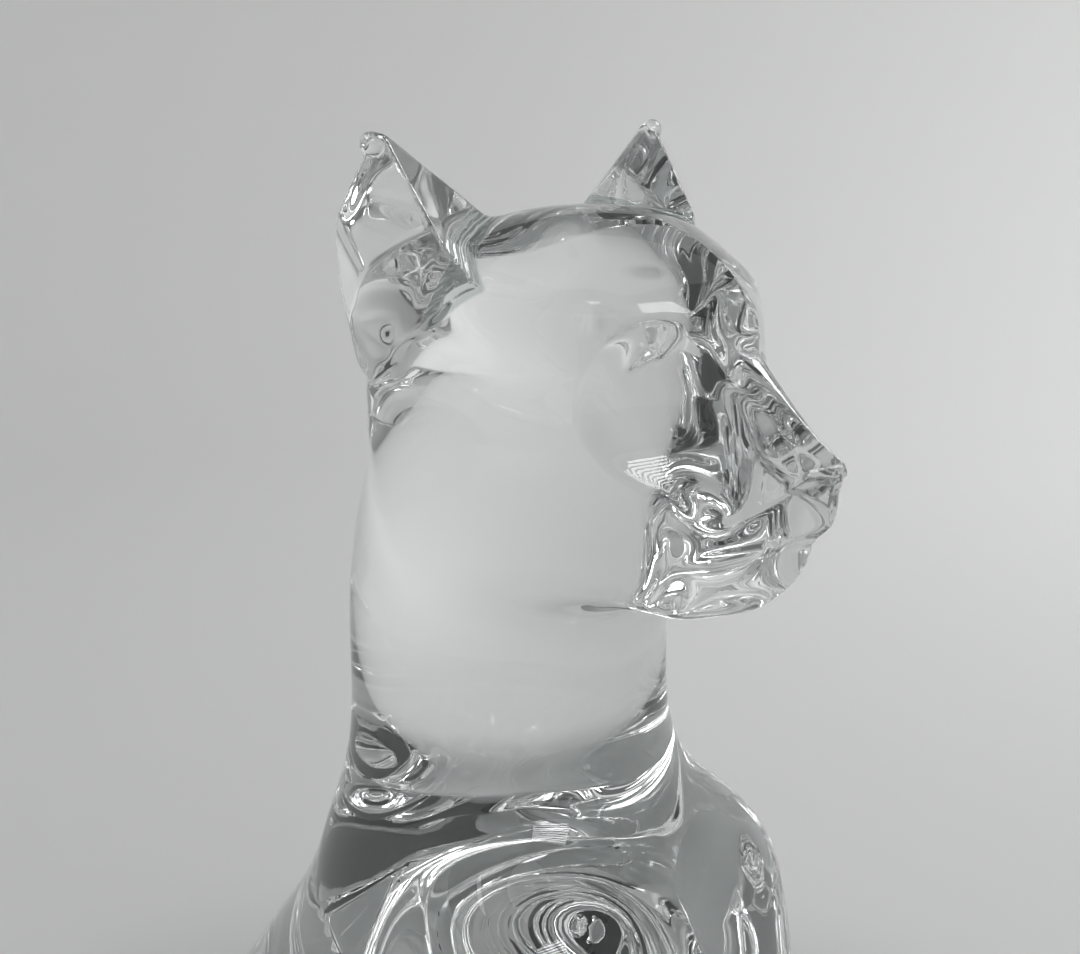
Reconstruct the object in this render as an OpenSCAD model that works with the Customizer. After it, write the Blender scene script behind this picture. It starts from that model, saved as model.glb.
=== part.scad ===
// Seated cat figurine in solid clear crystal glass.
// The cat faces -Y and stands on the plane Z = 0. Its left side is +X.
// Each node is one gather of glass, fused to its neighbours face to face.

/* [Base] */
// Distance from the line of the ear tips back to the middle of the base
base_y = 14; // [12:0.5:16]
// Half width of the rump
rump_w = 25; // [23:0.5:27]
// Half depth of the rump
rump_d = 27; // [25:0.5:28]

/* [Chest and neck] */
// Half width of the chest
chest_w = 20.5; // [19.5:0.5:22]
// Half depth of the chest
chest_d = 22.5; // [21.5:0.5:24]
// Radius of the neck where it leaves the shoulders
neck_r = 15.8; // [15:0.2:16.6]
// Radius of the neck inside the head
neck_top_r = 14.6; // [14:0.2:15]
// Height of the middle of the head
head_z = 130; // [128:0.5:132]

/* [Head] */
// Half width of the head at the cheeks
cheek_w = 16.8; // [16:0.2:17.6]
// Half depth of the head at the cheeks
cheek_d = 19; // [18:0.2:20]
// Radius of the scoop that hollows each eye socket
eye_r = 9.5; // [8.5:0.1:10]
// Depth of the eye socket
eye_depth = 2.2; // [1.5:0.1:2.6]
// Half width of the muzzle
muzzle_w = 9; // [8.4:0.1:9.6]

/* [Ears] */
// Distance of each ear tip from the middle
ear_x = 19.4; // [18.5:0.1:20.5]
// Height of the ear tips above the middle of the head
ear_h = 27.4; // [25:0.1:29]
// Radius of the bead of glass that ends each ear
ear_tip_r = 1.1; // [0.8:0.1:1.4]
// Half length of the hollow in the outer face of each ear
ear_hollow = 7; // [6:0.5:8]

/* [Legs and tail] */
// Radius of the shoulder at the top of each foreleg
shoulder_r = 12.2; // [11.6:0.1:12.8]
// Radius of the foreleg above the paw
ankle_r = 6.2; // [5.8:0.1:6.8]
// Radius of the forepaw
paw_r = 6.8; // [6.2:0.1:7.2]
// Half length of the thigh
thigh_l = 26; // [24:0.5:27]
// Radius of the hind foot at the heel
heel_r = 7; // [6.4:0.1:7.4]
// Radius of the tail where it leaves the rump
tail_r = 7.5; // [6.8:0.1:8]

/* [Hidden] */

glass = [0.80, 0.86, 0.84, 0.55];
// Sides of the round of a body form, of a limb, of a small bead and of a scoop
round_fn = 32;
limb_fn = 24;
bead_fn = 16;
scoop_fn = 48;
left = 1;
right = -1;
// Larger than the whole figurine
far = 300;

shoulder_z = head_z - 50;
crown_z = head_z + 11;
ear_tip_z = head_z + ear_h;
// The neck's axis stands this far behind the line of the ear tips' fronts
neck_y = 4.2;

// Stations along each limb, as [x, y, z, radius], for the left side
foreleg_line = [
    [10.6, -8.2, shoulder_z, shoulder_r],
    [10.6, -14, 58, 9.6],
    [8.6, -19, 30, 6.9],
    [8.2, -20.5, 14, ankle_r]
];
forepaw_line = [
    [8.2, -20.5, 9, ankle_r],
    [8.2, -23.5, 5.6, paw_r],
    [8.5, -28.5, 4.6, 0.83 * paw_r]
];
hind_foot_line = [
    [23, 18, 5.6, heel_r],
    [22, -14, 4.8, 0.86 * heel_r],
    [21.5, -21, 4.6, 0.8 * heel_r]
];
tail_line = [
    [0, 53, 6.8, tail_r],
    [-15, 52, 6, 0.91 * tail_r],
    [-28, 41, 5.4, 0.83 * tail_r],
    [-34, 24, 4.8, 0.75 * tail_r],
    [-34.5, 4, 4.2, 0.67 * tail_r],
    [-31, -12, 3.6, 0.56 * tail_r]
];
snout_line = [
    [0, -16.5, head_z + 13.2, 5.2],
    [0, -22.6, head_z + 6.7, 3.8],
    [0, -27.6, head_z + 1.4, 3.2]
];

// A ball of glass drawn out to three half sizes
module pebble(centre, half, tilt = 0, fn = round_fn) {
    translate(centre) rotate([tilt, 0, 0]) scale(half) sphere(1, $fn = fn);
}

// A tapering run of glass through stations of [x, y, z, radius]
module limb(line, fn = limb_fn) {
    for (i = [0 : len(line) - 2]) {
        hull() {
            for (s = [line[i], line[i + 1]]) {
                translate([s[0], s[1], s[2]]) sphere(s[3], $fn = fn);
            }
        }
    }
}

// One side of the cat: left as drawn, right as its mirror image
module on_side(side) {
    if (side == right) mirror([1, 0, 0]) children();
    else children();
}

// The half of space on the cat's left side, with the ground cut off
module left_half() {
    translate([0, -far / 2, 0]) cube([far, far, far]);
}

// Everything above the plane that the figurine stands on
module above_ground() {
    translate([-far / 2, -far / 2, 0]) cube([far, far, far]);
}

// Moves the drawing's own origin, below the ear tips, to the middle of the base
module placed() {
    color(glass) translate([0, -base_y, 0]) children();
}

module torso_form() {
    intersection() {
        union() {
            hull() {
                pebble([0, 1.5, 84], [chest_w - 2.5, chest_d - 2, 13]);
                pebble([0, 0.5, 66], [chest_w, chest_d, 24]);
            }
            hull() {
                pebble([0, 4, 76], [chest_w - 3, chest_d - 3, 17]);
                pebble([0, 28, 24], [rump_w, rump_d, 31]);
            }
            hull() {
                pebble([0, -2, 60], [chest_w - 2, chest_d - 4, 18]);
                pebble([0, 8, 13], [rump_w - 6, rump_d - 6, 20]);
            }
        }
        above_ground();
    }
}

module neck_form() {
    translate([0, neck_y, shoulder_z + 6]) {
        cylinder(h = head_z - shoulder_z, r1 = neck_r, r2 = neck_top_r, $fn = 2 * round_fn);
    }
}

module head_form() {
    difference() {
        union() {
            hull() {
                pebble([0, -6.8, crown_z], [16.2, 17.2, 10.6]);
                pebble([0, -5.2, head_z], [cheek_w, cheek_d, 12]);
                pebble([0, -9.2, head_z - 7], [15.2, 14.6, 8]);
            }
            // The nape carries the round of the neck up into the crown
            hull() {
                pebble([0, -6.8, crown_z], [14.6, 14, 10.4]);
                pebble([0, neck_y, head_z + 5], [neck_top_r, neck_top_r, 15.6]);
            }
            for (side = [left, right]) {
                on_side(side) pebble([6.6, -16, head_z + 12.8], [4.8, 4.2, 4.6]);
            }
            limb(snout_line, round_fn);
        }
        for (side = [left, right]) on_side(side) eye_socket();
    }
}

module eye_socket() {
    // The scoop comes in from the side and the front
    rim = [9.6, -20.6, head_z + 8.2];
    out = [0.62, -0.78, 0.12];
    translate(rim + (eye_r - eye_depth) * out) sphere(eye_r, $fn = scoop_fn);
}

module muzzle_form() {
    pads_z = head_z - 2.4;
    hull() {
        for (side = [left, right]) {
            on_side(side) {
                pebble([2.6, -24.2, pads_z], [muzzle_w - 2.8, 6.8, 5.4]);
                pebble([2.2, -20.6, pads_z - 5], [muzzle_w - 2.2, 7.6, 6]);
            }
        }
    }
}

module ear_form() {
    front = [18, -3.8, head_z + 19.6];
    back = [19.4, 6.2, head_z + 19.3];
    difference() {
        hull() {
            translate([ear_x, 1.9, ear_tip_z]) sphere(ear_tip_r, $fn = bead_fn);
            translate([7.5, 0.4, head_z + 19.5]) sphere(1, $fn = bead_fn);
            translate(front) sphere(1, $fn = bead_fn);
            translate(back) sphere(1, $fn = bead_fn);
            translate([15.5, 1, head_z + 11.5]) sphere(3, $fn = bead_fn);
        }
        pebble([24.8, 0.9, head_z + 19.8], [5, 3.2, ear_hollow], -8);
    }
}

module foreleg_form() {
    intersection() {
        limb(foreleg_line);
        left_half();
    }
}

module forepaw_form() {
    intersection() {
        limb(forepaw_line);
        left_half();
    }
}

module thigh_form() {
    intersection() {
        hull() {
            pebble([18.5, 27, 26], [12.5, 0.88 * thigh_l, 24], -20);
            pebble([22, 2, 17], [8, 0.42 * thigh_l, 11], -10);
        }
        left_half();
    }
}

module hind_foot_form() {
    intersection() {
        limb(hind_foot_line);
        left_half();
    }
}

module tail_form() {
    intersection() {
        limb(tail_line);
        above_ground();
    }
}

module torso() {
    placed() torso_form();
}

module neck() {
    placed() difference() {
        neck_form();
        head_form();
        torso_form();
        for (side = [left, right]) on_side(side) foreleg_form();
    }
}

module head() {
    placed() head_form();
}

module muzzle() {
    placed() difference() {
        muzzle_form();
        head_form();
        neck_form();
    }
}

module ear(side) {
    placed() on_side(side) difference() {
        ear_form();
        head_form();
    }
}

module foreleg(side) {
    placed() on_side(side) difference() {
        foreleg_form();
        torso_form();
        forepaw_form();
    }
}

module forepaw(side) {
    placed() on_side(side) difference() {
        forepaw_form();
        torso_form();
    }
}

module thigh(side) {
    placed() on_side(side) difference() {
        thigh_form();
        torso_form();
        foreleg_form();
    }
}

module hind_foot(side) {
    placed() on_side(side) difference() {
        hind_foot_form();
        torso_form();
        thigh_form();
        forepaw_form();
        foreleg_form();
    }
}

module tail() {
    placed() difference() {
        tail_form();
        torso_form();
        on_side(right) thigh_form();
        on_side(right) hind_foot_form();
    }
}

torso();
neck();
head();
muzzle();
ear(left);  // ear_left
ear(right);  // ear_right
foreleg(left);  // foreleg_left
foreleg(right);  // foreleg_right
forepaw(left);  // forepaw_left
forepaw(right);  // forepaw_right
thigh(left);  // thigh_left
thigh(right);  // thigh_right
hind_foot(left);  // hind_foot_left
hind_foot(right);  // hind_foot_right
tail();
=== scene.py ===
import math

import bpy
import numpy as np
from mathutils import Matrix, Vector


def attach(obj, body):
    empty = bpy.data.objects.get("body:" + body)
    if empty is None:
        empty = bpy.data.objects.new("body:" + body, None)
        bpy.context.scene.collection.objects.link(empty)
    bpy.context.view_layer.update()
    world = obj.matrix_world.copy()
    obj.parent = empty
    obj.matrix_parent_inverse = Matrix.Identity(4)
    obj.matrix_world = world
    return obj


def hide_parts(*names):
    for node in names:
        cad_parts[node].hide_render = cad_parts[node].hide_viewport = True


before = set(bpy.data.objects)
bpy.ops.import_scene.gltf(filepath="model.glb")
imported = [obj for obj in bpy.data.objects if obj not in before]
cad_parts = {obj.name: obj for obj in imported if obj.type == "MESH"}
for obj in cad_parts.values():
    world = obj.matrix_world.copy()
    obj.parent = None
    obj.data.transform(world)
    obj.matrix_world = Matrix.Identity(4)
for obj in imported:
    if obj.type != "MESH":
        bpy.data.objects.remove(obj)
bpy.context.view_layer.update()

# ---------------------------------------------------------------------------
# Driving values. The glass is drawn in millimetres with the ear tips over
# y = 0, as the CAD source draws it, and moved back onto the frame at the end.
# ---------------------------------------------------------------------------
MM = 0.001
EAR_LINE_TO_BASE = 14.0
TOP_OF_HEAD, NECK_Y, NECK_RADIUS = 151.7, 4.2, 15.7
EAR_TIP, EAR_INNER, EAR_CORE = (19.5, 1.9, 160.0), (5.6, 0.4, 150.4), (14, 1.5, 148)
EAR_FRONT, EAR_REAR, EAR_ROOT = (18.4, -4.4, 150.8), (19.2, 7.9, 151.2), (18.7, 2.4, 142.3)

# How wide the fillet is where each form runs into those before it. For the eye sockets and
# the base it is the rounding of the edge that they cut
FILLET = {"thigh": 4, "hind_foot": 4, "foreleg": 5, "forepaw": 5, "neck": 13, "snout": 1.6,
          "brow": 3, "head": 8, "muzzle": 2.6, "eye_socket": 0.6, "ear": 1.4, "tail": 1.5, "base": 0.8}
# Height of the slow ripples in the skin
RIPPLE = 0.006
# The seam round each ear's root, whose band also holds a painted shade: its width, how soon it fades,
# the spacing and depth of its lines
SEAM_WIDTH, SEAM_FADE, SEAM_LINE, SEAM_DEPTH = 3.2, 0.8, 0.75, 0.04

# The lattice's cell at the base, how many times finer it is at the head, and where it changes
PITCH = 0.9
HEAD_FINENESS = 2.3
FINE_FROM, FINE_TO = 88.0, 116.0
LATTICE_X, LATTICE_Y, LATTICE_Z = (-54, 54), (-82, 63), (-3, 163)
# Cells along each side of the blocks that are tested before their points are
BLOCK = 8

GLASS_IOR = 1.54
# The glass's clear colour, and the grey-green painted shade that darkens the band round each ear's root,
# standing in for the dark that the glass shows there
CLEAR, SEAM_PAINTED_SHADE = (0.985, 0.995, 0.99), (0.50, 0.57, 0.54)

# Camera, in millimetres and degrees. Azimuth 0 looks along +Y
CAMERA_TARGET = (0.0, -14.0, 125.3)
CAMERA_AZIMUTH, CAMERA_ELEVATION = -48.0, 15.0
CAMERA_DISTANCE = 150.0
LENS, SENSOR = 51.55, 36.0

# Studio, in metres, degrees and watts
DAYLIGHT, SKY, SKY_STRENGTH = (0.98, 0.995, 1.0), (0.97, 0.985, 1.0), 0.12
WINDOW_POWER, CEILING_POWER = 20, 5.2
# Lights that shine on the walls: where each stands and points, as azimuth, distance and height
WALL_LIGHTS = [("backdrop_light", (84, 0.60, 0.62), (96, 0.9, 0.0), (0.3, 0.3), 1.45),
               ("far_wall_light", (228, 0.50, 0.70), (228, 1.0, 0.15), (0.4, 0.3), 0.75)]
# The share of the window's and the ceiling's light that the clear glass lets through to the floor
THROUGH_GLASS = 0.35
# Painted shadow: the floor's colour at distances from the middle of the cat's base, darker close round
# it
FLOOR_PAINTED_SHADOW = [(0.0, (0.37, 0.385, 0.38)), (0.05, (0.37, 0.385, 0.38)), (0.15, (0.74, 0.735, 0.73))]
FLOOR_FLAT, FLOOR_BEND, WALL_TOP = 0.5, 0.5, 0.62
# Light bounces often inside the glass, so short light paths would turn it black
GLASS_BOUNCES, ALL_BOUNCES = 32, 40


# ---------------------------------------------------------------------------
# Distance functions: points are rows of x, y, z, and inside is negative
# ---------------------------------------------------------------------------
def length(v):
    return np.sqrt(np.einsum("...i,...i->...", v, v))


def union(a, b, k):
    """Both shapes, joined by a fillet about k wide."""
    h = np.maximum(k - np.abs(a - b), 0) / k
    return np.minimum(a, b) - h * h * h * k / 6


def common(a, b, k):
    """What two shapes share, with an edge rounded over about k."""
    return -union(-a, -b, k)


def unit(v):
    v = np.array(v, float)
    return v / np.linalg.norm(v)


def tilt(degrees):
    a = math.radians(degrees)
    return np.array([[1, 0, 0], [0, math.cos(a), -math.sin(a)], [0, math.sin(a), math.cos(a)]])


def ellipsoid(p, centre, half, turn=None):
    q = p - np.array(centre, float)
    if turn is not None:
        q = q @ turn
    half = np.array(half, float)
    k = length(q / half)
    return k * (k - 1) / np.maximum(length(q / half ** 2), 1e-9)


def squircle(p, centre, half, power):
    """An ellipsoid whose sides are flatter the higher its power."""
    half = np.array(half, float)
    a = np.abs(p - np.array(centre, float)) / half
    total = (a ** power).sum(-1)
    slope = (a ** (power - 1) / half) / np.maximum(total, 1e-12)[..., None] ** ((power - 1) / power)
    return (total ** (1 / power) - 1) / np.maximum(length(slope), 1e-9)


def cone(p, a, b, ra, rb):
    """A rod with round ends that tapers from radius ra at a to rb at b."""
    a, ba = np.array(a, float), np.array(b, float) - np.array(a, float)
    t = np.clip(((p - a) @ ba) / (ba @ ba), 0, 1)
    return length(p - a - t[..., None] * ba) - (ra + (rb - ra) * t)


def limb(p, line):
    """A smooth tapering run of glass through stations of x, y, z, radius."""
    stations = smooth_line(line)
    d = cone(p, stations[0][:3], stations[1][:3], stations[0][3], stations[1][3])
    for a, b in zip(stations[1:-1], stations[2:]):
        d = union(d, cone(p, a[:3], b[:3], a[3], b[3]), 2.4)
    return d


def smooth_line(line, steps=6):
    """Stations along a Catmull-Rom curve through the given ones."""
    s = [np.array(v, float) for v in line]
    s = [2 * s[0] - s[1], *s, 2 * s[-1] - s[-2]]
    out = []
    for a, b, c, d in zip(s, s[1:], s[2:], s[3:]):
        for i in range(steps):
            t = i / steps
            out.append(0.5 * (2 * b + (c - a) * t + (2 * a - 5 * b + 4 * c - d) * t ** 2
                              + (3 * b - a - 3 * c + d) * t ** 3))
    return [*out, s[-2]]


def plane(p, point, normal):
    """Everything behind a plane."""
    return (p - np.array(point, float)) @ unit(normal)


def facet(p, a, b, c, inside):
    """The side of the plane through three points that holds the point inside."""
    a, b, c = (np.array(v, float) for v in (a, b, c))
    normal = unit(np.cross(b - a, c - a))
    if (np.array(inside, float) - a) @ normal > 0:
        normal = -normal
    return (p - a) @ normal


def folded(p):
    """Both sides of the cat folded onto its left."""
    q = p.copy()
    q[..., 0] = np.abs(q[..., 0])
    return q


# ---------------------------------------------------------------------------
# The forms of the cat, divided as the CAD source divides them. The glass itself is one body.
# A form that takes q is given folded points, so it is drawn once, on the left
# ---------------------------------------------------------------------------
def skull(q):
    """Upright cheeks under a round crown, cut flat at the face, the forehead, the nape and the jaw."""
    sides = ellipsoid(q, (0, -3.6, 131), (16.8, 20.4, 60))
    crown_radius = 34.8
    dome = length(q - np.array([0, -7.5, TOP_OF_HEAD - crown_radius])) - crown_radius
    d = common(sides, dome, 5)
    d = common(d, plane(q, (6.0, -18.3, 147.0), (0.42, -0.52, 0.74)), 4)
    d = common(d, plane(q, (0, 10.8, 139.2), (0, 0.89, -0.45)), 2.5)
    d = common(d, plane(q, (0, -10, 117.0), (0, 0.04, -1)), 15)
    return common(d, plane(q, (8.3, -19.4, 143.0), (0.68, -0.73, 0.10)), 3)


def snout(q):
    """The bridge of the nose: a ridge between two sloping flanks."""
    d = common(plane(q, (0, -19.0, 144.8), (0, -0.675, 0.738)),
               plane(q, (7.8, -26.2, 130.2), (0.62, -0.58, 0.53)), 0.8)
    d = common(d, plane(q, (7, -28.0, 130.1), (-0.454, 0.263, -0.851)), 0.7)
    return common(d, plane(q, (9, -23.4, 130), (0.35, 0.93, 0)), 1)


def lips(q):
    """The upper half of the muzzle, which comes to an edge in the middle."""
    d = common(plane(q, (0, -33.2, 129.4), (0.66, -0.745, -0.06)),
               plane(q, (8.0, -24, 126), (1, 0.05, -0.05)), 3)
    d = common(d, plane(q, (4, -29.0, 125.4), (0.2, -0.42, -0.88)), 2.6)
    return common(d, plane(q, (7, -28.0, 130.4), (0.454, -0.263, 0.851)), 1)


def chin(q):
    """The lower half of the muzzle, which slopes back under the lips."""
    d = common(plane(q, (0, -30.6, 123), (0.66, -0.74, -0.12)),
               plane(q, (7.8, -22, 122), (1, 0, -0.10)), 3.5)
    d = common(d, plane(q, (0, -28.0, 119.8), (0.25, -0.62, -0.74)), 3)
    d = common(d, plane(q, (0, -21, 117.2), (0, 0.16, -1)), 3)
    return common(d, plane(q, (0, -24, 128), (0, 0, 1)), 2)


def muzzle(q):
    """The block of lips and chin, cut off inside the neck."""
    return common(union(lips(q), chin(q), 1), plane(q, (0, -8, 124), (0, 1, 0)), 2)


def eye_socket(q):
    """The ball of air that hollows the face beside the nose."""
    rim, out = np.array([7.4, -21.3, 136.0]), unit((0.70, -0.70, 0.12))
    radius, depth = 15.0, 1.9
    return length(q - (rim + out * (radius - depth))) - radius


def brow(q):
    return ellipsoid(q, (4.4, -16.6, 143.4), (4.2, 3.2, 3.0))


def ear_leaf(q):
    """The ear's outer face, hollowed a little along its length."""
    leaf = common(facet(q, EAR_FRONT, EAR_ROOT, EAR_REAR, EAR_CORE),
                  facet(q, EAR_TIP, EAR_FRONT, EAR_REAR, EAR_CORE), 4)
    return common(leaf, -ellipsoid(q, (38.0, 1.9, 147.0), (19.3, 17, 30)), 0.6)


def ear(q):
    """A three-sided pointed bit of glass with a bead at its tip."""
    d = common(facet(q, EAR_TIP, EAR_INNER, EAR_FRONT, EAR_CORE),
               facet(q, EAR_TIP, EAR_REAR, EAR_INNER, EAR_CORE), 1.2)
    d = common(d, ear_leaf(q), 0.5)
    d = common(d, facet(q, EAR_FRONT, EAR_ROOT, (16.2, -3.4, 143.5), EAR_CORE), 0.5)
    d = common(d, facet(q, (19.2, 7.9, 149.8), EAR_ROOT, (16.5, 7.9, 138.3), EAR_CORE), 0.5)
    d = common(d, plane(q, EAR_ROOT, (0.9, 0, -0.44)), 0.8)
    d = common(d, plane(q, (14, 2, 136.5), (0, 0, -1)), 2)
    d = common(d, plane(q, (18, 8.0, 149.6), (0, 1, 0)), 1.5)
    d = common(d, plane(q, (19.5, 1.9, 158.2), (0.3, 0, 0.95)), 1)
    bead = length(q - np.array([19.0, 1.9, 157.6])) - 1.0
    return union(d, bead, 0.6)


def clear_of_seam(q):
    """Large on the ear's outer leaf, above its root and behind it, where the glass is clear."""
    above = np.clip(plane(q, (18.0, -4.4, 149.2), (0.35, 0.20, 0.90)) / 1.2, 0, 1)
    on_leaf = np.clip(1.4 - np.abs(ear_leaf(q)) / 0.4, 0, 1)
    behind = np.clip((q[..., 1] - 2.0) / 2, 0, 1)
    return 20.0 * np.maximum(np.maximum(above, on_leaf), behind)


def neck(p):
    """An upright round of glass whose nape leans in under the back of the head."""
    z = p[..., 2]
    lean = 0.0105 * np.clip(z - 109, 0, 24) ** 2
    q = p - np.array([0, NECK_Y, 0])
    q[..., 0] /= 1.04
    q[..., 1] += lean
    q[..., 2] = np.maximum(z - 132, 0)
    return length(q) - NECK_RADIUS


def torso(q):
    chest = squircle(q, (0, 0, 70), (20.5, 22, 27), 2.3)
    return union(chest, cone(q, (0, 7, 78), (0, 30, 32), 17.5, 27), 9)


def thigh(q):
    return ellipsoid(q, (19.5, 24, 28), (12.5, 26, 25), tilt(-20))


def hind_foot(q):
    return limb(q, [(23, 18, 6.5, 7), (22, -2, 5.5, 6.2), (22, -14, 5.0, 6), (21.5, -21, 4.8, 5.6)])


def foreleg(q):
    return limb(q, [(10.6, -8.2, 80, 12.2), (10.6, -14, 58, 9.6), (8.8, -18.5, 34, 7.2),
                    (8.2, -20.5, 14, 6.2)])


def forepaw(q):
    return limb(q, [(8.2, -20.5, 12, 6.2), (8.2, -23.5, 6.5, 6.8), (8.4, -29, 5, 5.6)])


def tail(p):
    return limb(p, [(0, 53, 8.5, 7.5), (-15, 52.6, 7.5, 6.8), (-28, 42, 6.5, 6.2),
                    (-33.8, 24, 5.8, 5.6), (-34.5, 4, 5.0, 5.0), (-31, -12, 4.2, 4.2)])


def ripples(p):
    """Low waves about 15 mm long that run across each other."""
    x, y, z = p[..., 0], p[..., 1], p[..., 2]
    return RIPPLE * np.sin(0.41 * x + 0.9 * np.sin(0.23 * z)) * np.sin(0.37 * y + 0.31 * z)


def cat(p):
    q = folded(p)
    d = union(torso(q), union(thigh(q), hind_foot(q), FILLET["hind_foot"]), FILLET["thigh"])
    d = union(d, union(foreleg(q), forepaw(q), FILLET["forepaw"]), FILLET["foreleg"])
    d = union(d, neck(p), FILLET["neck"])
    face = union(skull(q), snout(q), FILLET["snout"])
    face = union(face, brow(q), FILLET["brow"])
    d = union(d, face, FILLET["head"])
    d = union(d, muzzle(q), FILLET["muzzle"])
    d = common(d, -eye_socket(q), FILLET["eye_socket"])
    d = union(d, ear(q), FILLET["ear"])
    d = union(d, tail(p), FILLET["tail"])
    return common(d + ripples(p), -p[..., 2], FILLET["base"])


def ear_seam(p):
    """How far each point lies from the line where an ear was stuck on, and on which side of it."""
    q = folded(p)
    from_ear, from_skull = ear(q), skull(q)
    return np.maximum(from_skull, 3.5 * from_ear) + clear_of_seam(q), from_ear - from_skull


def node_of(p):
    """The CAD node whose form is nearest to each point on the surface. A node can have two patches."""
    q = folded(p)
    side = np.where(p[..., 0] >= 0, "_left", "_right")
    forms = {
        "torso": torso(q), "neck": neck(p),
        "head": np.minimum(np.minimum(skull(q), snout(q)), brow(q)),
        "muzzle": muzzle(q), "ear": ear(q), "foreleg": foreleg(q), "forepaw": forepaw(q),
        "thigh": thigh(q), "hind_foot": hind_foot(q), "tail": tail(p),
    }
    names = np.array(list(forms))
    nearest = names[np.argmin(np.stack(list(forms.values())), axis=0)]
    paired = np.isin(nearest, ["ear", "foreleg", "forepaw", "thigh", "hind_foot"])
    return np.where(paired, np.char.add(nearest, side), nearest)


# ---------------------------------------------------------------------------
# Surface nets on a lattice that is finer round the head
# ---------------------------------------------------------------------------
def fineness(z):
    t = np.clip((z - FINE_FROM) / (FINE_TO - FINE_FROM), 0, 1)
    return 1 + (HEAD_FINENESS - 1) * t * t * (3 - 2 * t)


def lattice():
    """The lattice's u, v values and, for each layer, its height and fineness."""
    z = np.linspace(*LATTICE_Z, 3000)
    depth = np.concatenate([[0], np.cumsum(np.diff(z) * (fineness(z[1:]) + fineness(z[:-1])) / 2)])
    heights = np.interp(np.arange(0, depth[-1], PITCH), depth, z)
    return np.arange(*LATTICE_X, PITCH), np.arange(*LATTICE_Y, PITCH), heights


def points_at(u, v, heights, i, j, k):
    s = fineness(heights[k])
    return np.stack([u[i] / s, v[j] / s, heights[k]], -1)


def sample(form, u, v, heights):
    """The form's distance on the lattice, exact only near its surface."""
    shape = [len(u), len(v), len(heights)]
    blocks = [range(BLOCK // 2, n + BLOCK // 2, BLOCK) for n in shape]
    i, j, k = np.meshgrid(*[np.minimum(b, n - 1) for b, n in zip(blocks, shape)], indexing="ij")
    centres = points_at(u, v, heights, i, j, k)
    coarse = form(centres)
    reach = (BLOCK * PITCH * 1.35 + 1.5) / fineness(centres[..., 2]) + 0.8
    near = np.abs(coarse) < reach
    for axis in range(3):
        coarse, near = np.repeat(coarse, BLOCK, axis), np.repeat(near, BLOCK, axis)
    cut = tuple(slice(0, n) for n in shape)
    field, near = coarse[cut].copy(), near[cut]
    i, j, k = np.nonzero(near)
    for part in np.array_split(np.arange(len(i)), max(1, len(i) // 200000)):
        c = i[part], j[part], k[part]
        field[c] = form(points_at(u, v, heights, *c))
    return field


def surface_net(form):
    """Points and quads of the form's surface, one point a lattice cell."""
    u, v, heights = lattice()
    field = sample(form, u, v, heights)
    inside = field < 0
    corners = [(a, b, c) for a in (0, 1) for b in (0, 1) for c in (0, 1)]
    shape = [n - 1 for n in field.shape]

    def shifted(array, a, b, c):
        return array[a:a + shape[0], b:b + shape[1], c:c + shape[2]]

    count = sum(shifted(inside, *c).astype(np.int8) for c in corners)
    cells = np.stack(np.nonzero((count > 0) & (count < 8)), -1)
    number = np.full(shape, -1, np.int64)
    number[tuple(cells.T)] = np.arange(len(cells))

    total, hits = np.zeros((len(cells), 3)), np.zeros((len(cells), 1))
    for a in corners:
        for axis in range(3):
            if a[axis]:
                continue
            b = tuple(1 if n == axis else a[n] for n in range(3))
            fa = field[tuple((cells + a).T)]
            fb = field[tuple((cells + b).T)]
            crosses = (fa < 0) != (fb < 0)
            t = np.where(crosses, fa / np.where(crosses, fa - fb, 1), 0)[:, None]
            spot = np.array(a) + t * (np.array(b) - np.array(a))
            total += np.where(crosses[:, None], spot, 0)
            hits += crosses[:, None]
    place = cells + total / hits
    grid = [np.interp(place[:, n], np.arange(len(values)), values)
            for n, values in enumerate((u, v, heights))]
    s = fineness(grid[2])
    points = np.stack([grid[0] / s, grid[1] / s, grid[2]], -1)

    quads = []
    for axis in range(3):
        step = np.eye(3, dtype=int)[axis]
        b, c = np.eye(3, dtype=int)[(axis + 1) % 3], np.eye(3, dtype=int)[(axis + 2) % 3]
        low = inside[tuple(slice(0, n - s) for n, s in zip(inside.shape, step))]
        high = inside[tuple(slice(s, n) for n, s in zip(inside.shape, step))]
        edges = np.stack(np.nonzero(low != high), -1)
        ring = np.stack([number[tuple((edges - off).T)] for off in (b + c, c, 0 * b, b)], -1)
        flip = ~low[tuple(edges.T)]
        ring[flip] = ring[flip][:, ::-1]
        quads.append(ring)
    return points, np.concatenate(quads)


def gradient(form, p, step=0.02):
    g = np.stack([form(p + step * axis) - form(p - step * axis) for axis in np.eye(3)], -1)
    return g / (2 * step)


def settle(form, p, quads, rounds=4):
    """Spreads the points evenly over the surface and puts each exactly on it."""
    pairs = np.concatenate([quads[:, [a, (a + 1) % 4]] for a in range(4)])
    pairs = np.concatenate([pairs, pairs[:, ::-1]])
    share = np.bincount(pairs[:, 0], minlength=len(p))[:, None]
    for r in range(rounds):
        slope = gradient(form, p)
        p = p - slope * (form(p) / np.maximum(length(slope) ** 2, 0.05))[:, None]
        if r == rounds - 1:
            break
        mean = np.stack([np.bincount(pairs[:, 0], p[pairs[:, 1], n], len(p)) for n in range(3)], -1)
        move = mean / share - p
        normal = slope / np.maximum(length(slope), 1e-9)[:, None]
        move -= normal * np.einsum("ij,ij->i", move, normal)[:, None]
        p = p + 0.5 * move
    slope = gradient(form, p)
    return p, slope / np.maximum(length(slope), 1e-9)[:, None]


# ---------------------------------------------------------------------------
# Pieces
# ---------------------------------------------------------------------------
def to_frame(p):
    """Millimetres about the ear line to metres in the frame."""
    return (p - np.array([0, EAR_LINE_TO_BASE, 0])) * MM


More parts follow.
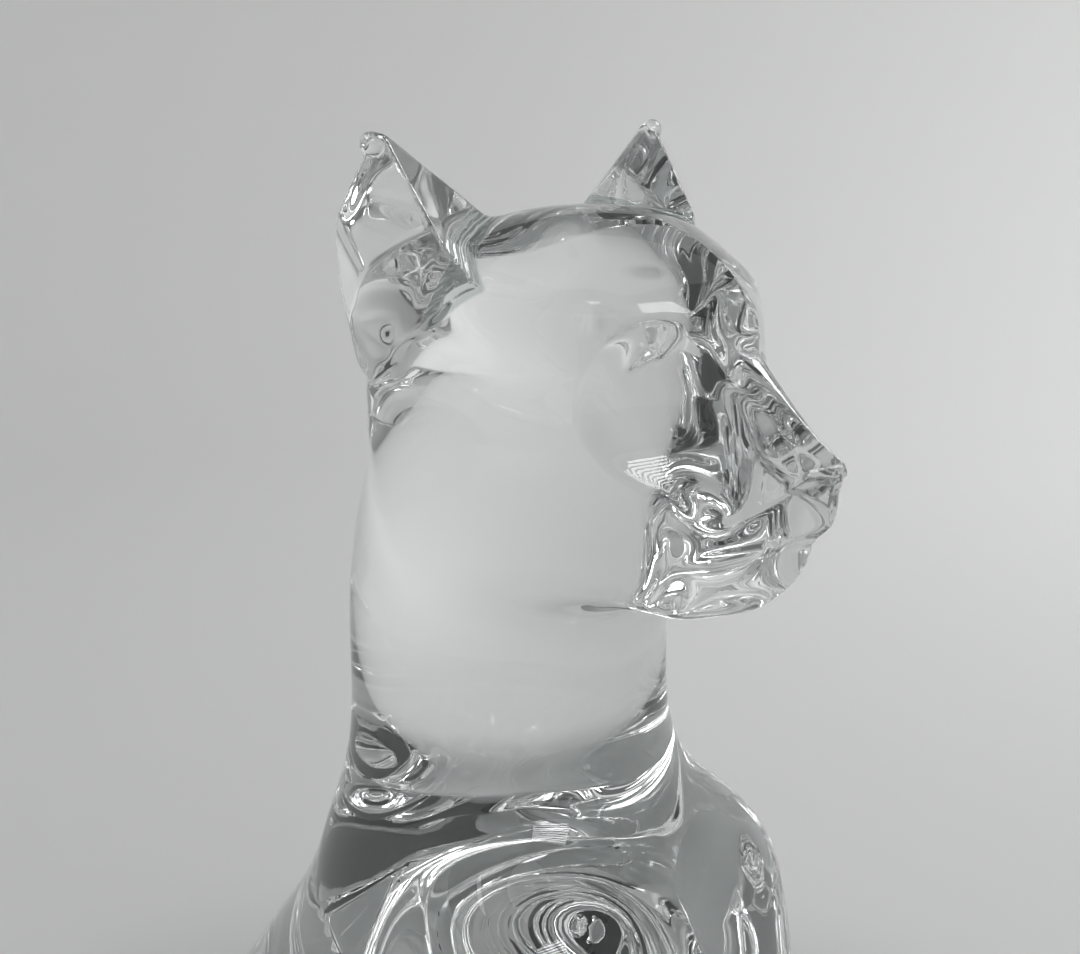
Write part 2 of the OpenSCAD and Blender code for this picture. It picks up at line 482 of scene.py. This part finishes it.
def add_mesh(name, points, faces, material):
    mesh = bpy.data.meshes.new(name)
    mesh.from_pydata(np.asarray(points).tolist(), [], np.asarray(faces).tolist())
    mesh.materials.append(material)
    piece = bpy.data.objects.new(name, mesh)
    bpy.context.scene.collection.objects.link(piece)
    return piece


def glass_pieces(material):
    """The cat's skin, cut into one open piece for each CAD node where one form meets the next."""
    points, quads = surface_net(cat)
    points, normals = settle(cat, points, quads)
    names = node_of(points[quads].mean(1))
    where = to_frame(points)
    seam, across = ear_seam(points)
    for name in sorted(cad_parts):
        faces = quads[names == name]
        if not len(faces):
            raise ValueError("no glass belongs to " + name)
        used, local = np.unique(faces, return_inverse=True)
        piece = add_mesh(name + "_glass", where[used], local.reshape(-1, 4), material)
        piece.data.polygons.foreach_set("use_smooth", np.ones(len(faces), bool))
        piece.data.normals_split_custom_set_from_vertices(normals[used].tolist())
        for label, values in [("seam", seam), ("across", across)]:
            layer = piece.data.attributes.new(label, "FLOAT", "POINT")
            layer.data.foreach_set("value", values[used].astype(np.float32))
        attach(piece, "root")
        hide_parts(name)


# ---------------------------------------------------------------------------
# Materials
# ---------------------------------------------------------------------------
def new_material(name):
    material = bpy.data.materials.new(name)
    material.use_nodes = True
    nodes, links = material.node_tree.nodes, material.node_tree.links
    return material, nodes, links, nodes["Principled BSDF"]


def maths(nodes, links, operation, a, b=None, c=None):
    node = nodes.new("ShaderNodeMath")
    node.operation = operation
    for socket, value in zip(node.inputs, (a, b, c)):
        if isinstance(value, bpy.types.NodeSocket):
            links.new(value, socket)
        elif value is not None:
            socket.default_value = value
    return node.outputs[0]


def crystal():
    """Clear glass with fine flow lines and a painted shade, a grey-green darkening of its colour, in the
    seam round each ear's root.
    """
    material, nodes, links, bsdf = new_material("crystal")
    bsdf.inputs["Roughness"].default_value = 0.0
    bsdf.inputs["IOR"].default_value = GLASS_IOR
    bsdf.inputs["Transmission Weight"].default_value = 1.0

    seam, side = (nodes.new("ShaderNodeAttribute") for _ in range(2))
    seam.attribute_name, side.attribute_name = "seam", "across"
    band = nodes.new("ShaderNodeMapRange")
    band.interpolation_type = "SMOOTHSTEP"
    band.inputs["From Min"].default_value = SEAM_WIDTH
    band.inputs["From Max"].default_value = SEAM_WIDTH - SEAM_FADE
    links.new(seam.outputs["Fac"], band.inputs["Value"])

    # Painted shade: the glass's colour turns darker grey-green in the band round each ear's root
    painted_shade = nodes.new("ShaderNodeMix")
    painted_shade.data_type = "RGBA"
    painted_shade.inputs["A"].default_value = (*CLEAR, 1)
    painted_shade.inputs["B"].default_value = (*SEAM_PAINTED_SHADE, 1)
    links.new(band.outputs["Result"], painted_shade.inputs["Factor"])
    links.new(painted_shade.outputs["Result"], bsdf.inputs["Base Color"])

    coords = nodes.new("ShaderNodeTexCoord")
    waver = nodes.new("ShaderNodeTexNoise")
    waver.inputs["Scale"].default_value = 150
    links.new(coords.outputs["Object"], waver.inputs["Vector"])
    across = maths(nodes, links, "MULTIPLY_ADD", waver.outputs["Fac"], 1.6, side.outputs["Fac"])
    lines = maths(nodes, links, "SINE", maths(nodes, links, "MULTIPLY", across, 2 * math.pi / SEAM_LINE))
    lines = maths(nodes, links, "MULTIPLY", lines, band.outputs["Result"])
    bump = nodes.new("ShaderNodeBump")
    bump.inputs["Strength"].default_value = 1.0
    bump.inputs["Distance"].default_value = SEAM_DEPTH * MM
    links.new(lines, bump.inputs["Height"])
    links.new(bump.outputs["Normal"], bsdf.inputs["Normal"])
    return material


def matte(name, colour):
    material, nodes, links, bsdf = new_material(name)
    bsdf.inputs["Base Color"].default_value = (*colour, 1)
    bsdf.inputs["Roughness"].default_value = 0.9
    return material


def floor_with_painted_shadow(stops):
    """A pale floor with a painted soft shadow: its colour is darker near the middle of the cat's base
    and pales with the distance from it.
    """
    material, nodes, links, bsdf = new_material("pale_floor")
    bsdf.inputs["Roughness"].default_value = 0.9
    place = nodes.new("ShaderNodeNewGeometry")
    reach = nodes.new("ShaderNodeVectorMath")
    reach.operation = "LENGTH"
    links.new(place.outputs["Position"], reach.inputs[0])
    span = maths(nodes, links, "DIVIDE", reach.outputs["Value"], stops[-1][0])
    # Painted shadow: the ramp runs from grey near the base out to the pale floor
    fade = nodes.new("ShaderNodeValToRGB")
    fade.color_ramp.interpolation = "EASE"
    while len(fade.color_ramp.elements) < len(stops):
        fade.color_ramp.elements.new(0.5)
    for element, (distance, colour) in zip(fade.color_ramp.elements, stops):
        element.position = distance / stops[-1][0]
        element.color = (*colour, 1)
    links.new(span, fade.inputs["Fac"])
    links.new(fade.outputs["Color"], bsdf.inputs["Base Color"])
    return material


# ---------------------------------------------------------------------------
# Studio
# ---------------------------------------------------------------------------
def studio_floor(material, around=96, bend_steps=12):
    """A pale floor that curves up all round into a wall."""
    profile = [(FLOOR_FLAT / 2, 0.0), (FLOOR_FLAT, 0.0)]
    for i in range(1, bend_steps + 1):
        a = math.radians(90 * i / bend_steps)
        profile.append((FLOOR_FLAT + FLOOR_BEND * math.sin(a), FLOOR_BEND - FLOOR_BEND * math.cos(a)))
    profile.append((FLOOR_FLAT + FLOOR_BEND, WALL_TOP))
    turns = [2 * math.pi * n / around for n in range(around)]
    points = [(r * math.cos(t), r * math.sin(t), z) for r, z in profile for t in turns]
    faces = []
    for k in range(len(profile) - 1):
        for n in range(around):
            low, after = k * around, (n + 1) % around
            faces.append((low + n, low + after, low + around + after, low + around + n))
    bowl = add_mesh("studio_floor", points, faces, material)
    for face in bowl.data.polygons:
        face.use_smooth = True
    middle = add_mesh("studio_floor_middle", points[:around], [range(around)], material)


def direction(azimuth, elevation=0.0):
    a, e = math.radians(azimuth), math.radians(elevation)
    return Vector((math.sin(a) * math.cos(e), -math.cos(a) * math.cos(e), math.sin(e)))


def studio_point(azimuth, distance, height):
    """A point at a distance from the base's middle and a height over the floor."""
    return direction(azimuth) * distance + Vector((0, 0, height))


def area_light(name, place, aim, size, power, casts_shadow=True):
    light = bpy.data.lights.new(name, "AREA")
    light.shape, light.size, light.size_y = "RECTANGLE", size[0], size[1]
    light.energy, light.color = power, DAYLIGHT
    light.use_shadow = casts_shadow
    lamp = bpy.data.objects.new(name, light)
    lamp.location = place
    lamp.rotation_euler = (place - aim).to_track_quat("Z", "Y").to_euler()
    bpy.context.scene.collection.objects.link(lamp)
    return lamp


def world_light():
    world = bpy.data.worlds.new("studio")
    world.use_nodes = True
    world.node_tree.nodes["Background"].inputs["Color"].default_value = (*SKY, 1)
    world.node_tree.nodes["Background"].inputs["Strength"].default_value = SKY_STRENGTH
    bpy.context.scene.world = world


def dim_room(azimuths=(316, 376), height=0.45, distance=0.80, steps=12):
    """A dark card behind the camera and to its right, bent round the cat, for the glass to mirror."""
    points, faces = [], []
    for n in range(steps + 1):
        way = direction(azimuths[0] + (azimuths[1] - azimuths[0]) * n / steps) * distance
        points += [(way.x, way.y, z) for z in (0.0, height)]
        if n:
            faces.append((2 * n - 2, 2 * n, 2 * n + 1, 2 * n - 1))
    add_mesh("dim_room", points, faces, matte("dim_room", (0.06, 0.068, 0.066)))


def blind(width, height, slats, material):
    """Flat slats across a window, each a little under half its pitch high."""
    points, faces = [], []
    for n in range(slats):
        y = height * ((n + 0.5) / slats - 0.5)
        half = 0.22 * height / slats
        first = len(points)
        points += [(-0.6 * width, y - half, 0), (0.6 * width, y - half, 0),
                   (0.6 * width, y + half, 0), (-0.6 * width, y + half, 0)]
        faces.append(range(first, first + 4))
    return add_mesh("window_blind", points, faces, material)


def soft_light(name, place, aim, size, power, step_back):
    """A light of two parts: one casts shadows, and the other stands for what the glass lets through."""
    lamp = area_light(name, place, aim, size, power * (1 - THROUGH_GLASS))
    area_light(name + "_through_glass", place + step_back, aim, size, power * THROUGH_GLASS, False)
    return lamp


def window(aim, azimuth=339, elevation=36, distance=2.2, size=(0.95, 0.75)):
    """Daylight from a high window with a blind."""
    way = direction(azimuth, elevation)
    place = aim + way * distance
    lamp = soft_light("window", place, aim, size, WINDOW_POWER, way * 0.02)
    slats = blind(*size, 10, matte("blind", (0.10, 0.10, 0.10)))
    slats.rotation_euler = lamp.rotation_euler
    slats.location = place - way * 0.05


def studio_lights():
    aim = Vector(CAMERA_TARGET) * MM
    window(aim)
    for name, place, target, size, power in WALL_LIGHTS:
        area_light(name, studio_point(*place), studio_point(*target), size, power)
    area_light("side_window", aim + direction(78, 36) * 0.8, aim, (0.34, 0.14), 1.3)
    soft_light("ceiling", Vector((0, 0, 1.9)), aim, (1.6, 1.6), CEILING_POWER, Vector((0, 0, 0.01)))


def camera():
    data = bpy.data.cameras.new("camera")
    data.lens, data.sensor_width = LENS, SENSOR
    data.clip_start, data.clip_end = 0.005, 20
    made = bpy.data.objects.new("camera", data)
    target = Vector(CAMERA_TARGET) * MM
    back = direction(CAMERA_AZIMUTH, CAMERA_ELEVATION)
    made.location = target + back * CAMERA_DISTANCE * MM
    made.rotation_euler = back.to_track_quat("Z", "Y").to_euler()
    bpy.context.scene.collection.objects.link(made)
    bpy.context.scene.camera = made


def light_paths():
    scene = bpy.context.scene
    scene.view_settings.view_transform = "Standard"
    scene.cycles.glossy_bounces = GLASS_BOUNCES
    scene.cycles.transmission_bounces = GLASS_BOUNCES
    scene.cycles.max_bounces = ALL_BOUNCES


camera()
glass_pieces(crystal())
studio_floor(floor_with_painted_shadow(FLOOR_PAINTED_SHADOW))
dim_room()
world_light()
studio_lights()
light_paths()
